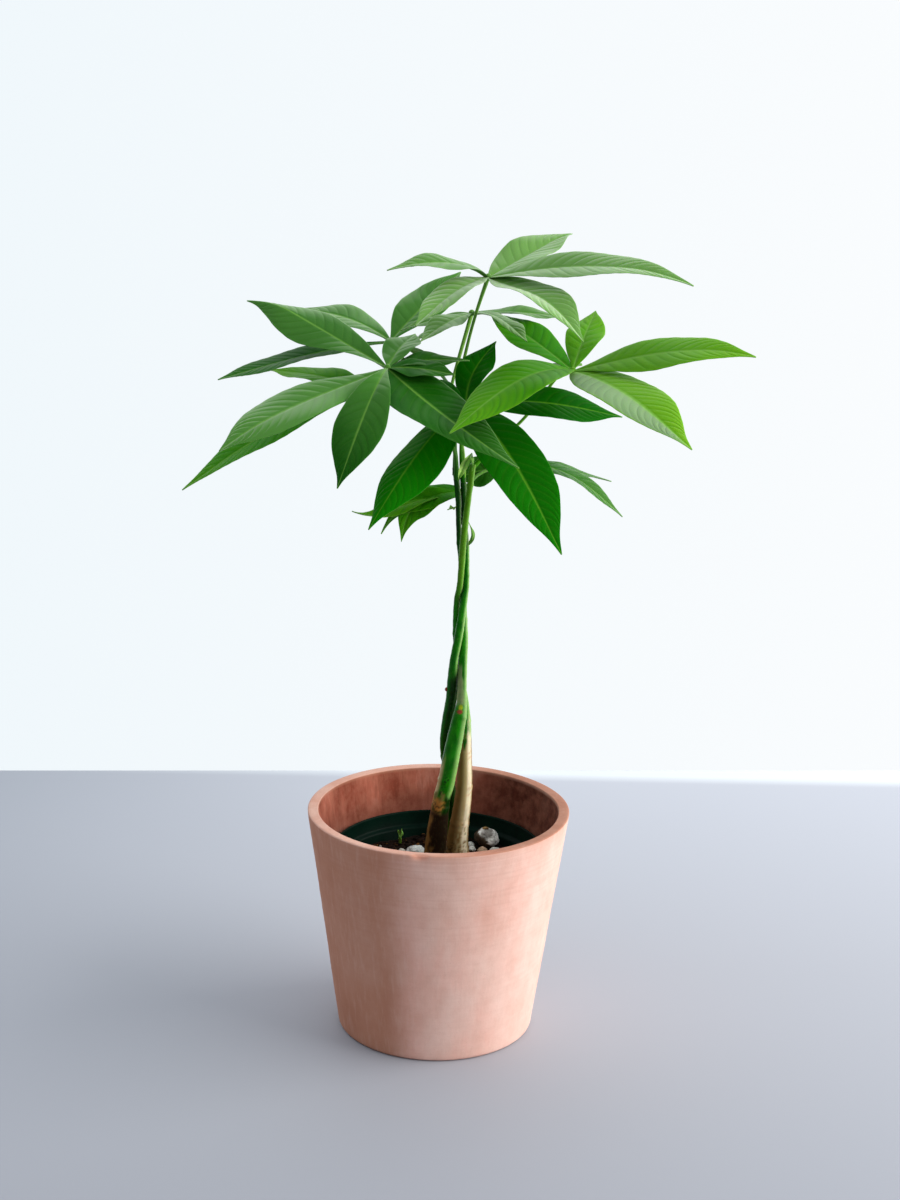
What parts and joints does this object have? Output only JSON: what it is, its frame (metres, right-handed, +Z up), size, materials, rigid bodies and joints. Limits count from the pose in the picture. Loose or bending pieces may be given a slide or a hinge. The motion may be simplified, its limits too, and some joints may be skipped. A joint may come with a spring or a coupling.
{
  "type": "potted money tree",
  "caption": "Young money tree with twisted trunks and spreading palmate leaves, in a green nursery pot of soil set inside a plain terracotta pot.",
  "frame": {"origin": "middle of the terracotta pot's flat underside", "axes": "+Z up along the pot's axis, -Y towards the viewer of the picture"},
  "size_m": [0.2996, 0.1815, 0.4495],
  "materials": {
    "terracotta": "matte",
    "green_plastic": "satin",
    "potting_soil": "matte",
    "pumice": "matte",
    "stem_green": "satin",
    "stem_tan": "satin",
    "leaf_mid": "satin",
    "leaf_deep": "satin",
    "leaf_fresh": "satin",
    "leaf_dark": "satin"
  },
  "bodies": {
    "root": {"terracotta_pot": "terracotta", "nursery_pot": "green_plastic", "soil": "potting_soil", "seedling": "leaf_fresh", "stem_1": "stem_green", "stem_2": "stem_green", "stem_3": "stem_tan", "stone_1": "pumice", "stone_2": "pumice", "stone_3": "pumice", "stone_4": "pumice", "stone_5": "pumice", "stone_6": "pumice", "stone_7": "pumice", "stone_8": "pumice", "stone_9": "pumice", "stone_10": "pumice", "leaf_a": "leaf_mid", "leaf_b": "leaf_deep", "leaf_c": "leaf_fresh", "leaf_d": "leaf_mid", "leaf_e": "leaf_dark", "leaf_f": "leaf_deep", "leaf_k": "leaf_deep", "leaf_h": "leaf_mid", "leaf_g": "leaf_fresh"}
  },
  "joints": []
}
